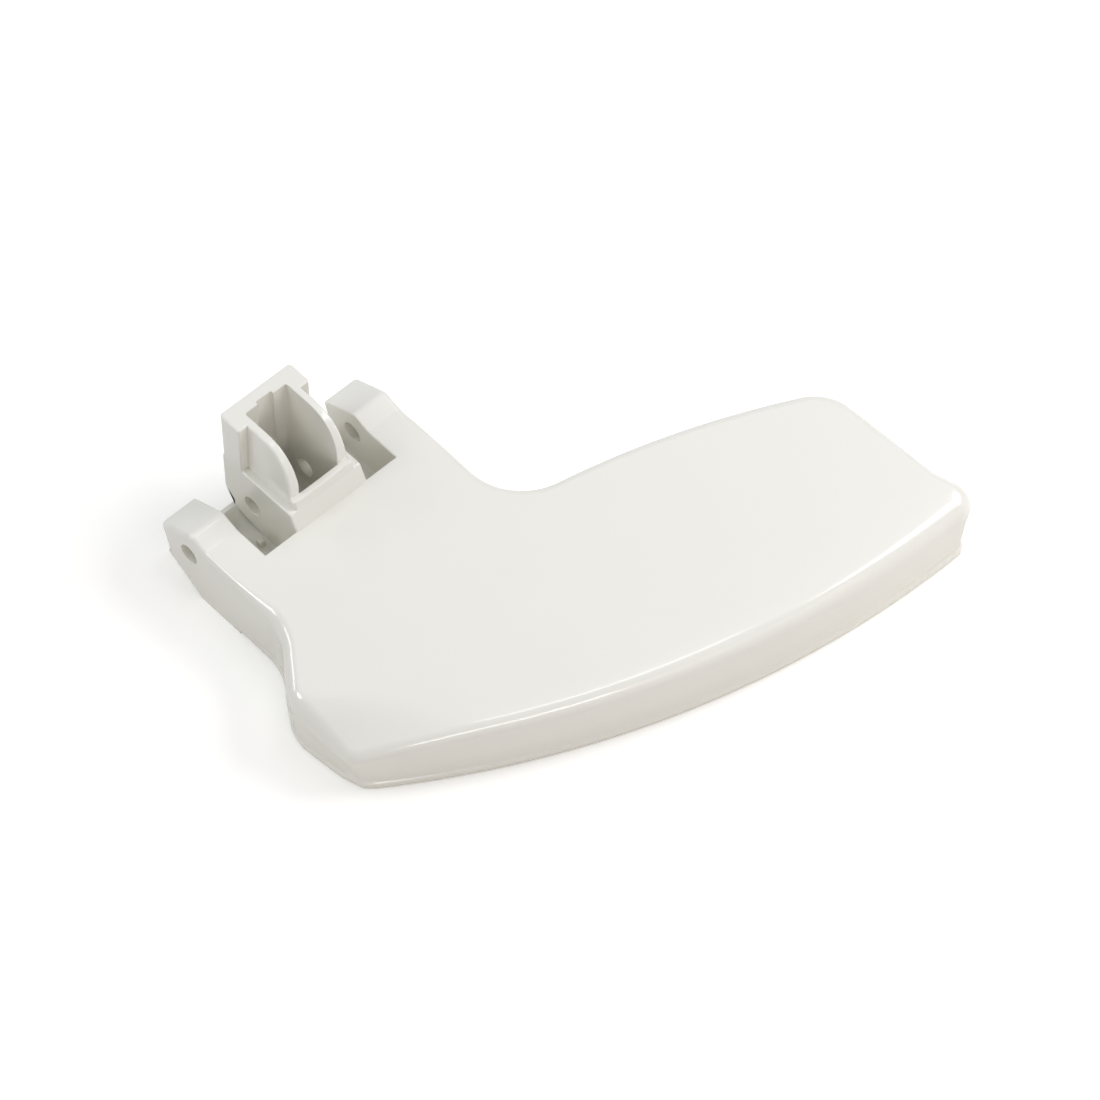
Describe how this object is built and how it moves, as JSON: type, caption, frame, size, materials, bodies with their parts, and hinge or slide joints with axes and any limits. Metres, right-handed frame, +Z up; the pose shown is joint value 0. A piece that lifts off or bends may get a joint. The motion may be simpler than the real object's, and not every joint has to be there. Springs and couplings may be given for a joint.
{
  "type": "washing machine door handle",
  "caption": "One-piece moulded washing machine door handle: a curved hollow pull on a hinge tab with scooped spring notches, bored ears and an open latch box.",
  "frame": {"origin": "centre of the bounding box, on the plane that the open underside rests on", "axes": "+X along the hinge axis towards the long end of the pull, +Z up out of the finger side's top face, front of the pull towards -Y and the hinge tab towards +Y"},
  "size_m": [0.1262, 0.1032, 0.0333],
  "materials": {
    "gloss_white_plastic": "glossy warm off-white moulded plastic"
  },
  "bodies": {
    "root": {"handle": "gloss_white_plastic"}
  },
  "joints": []
}
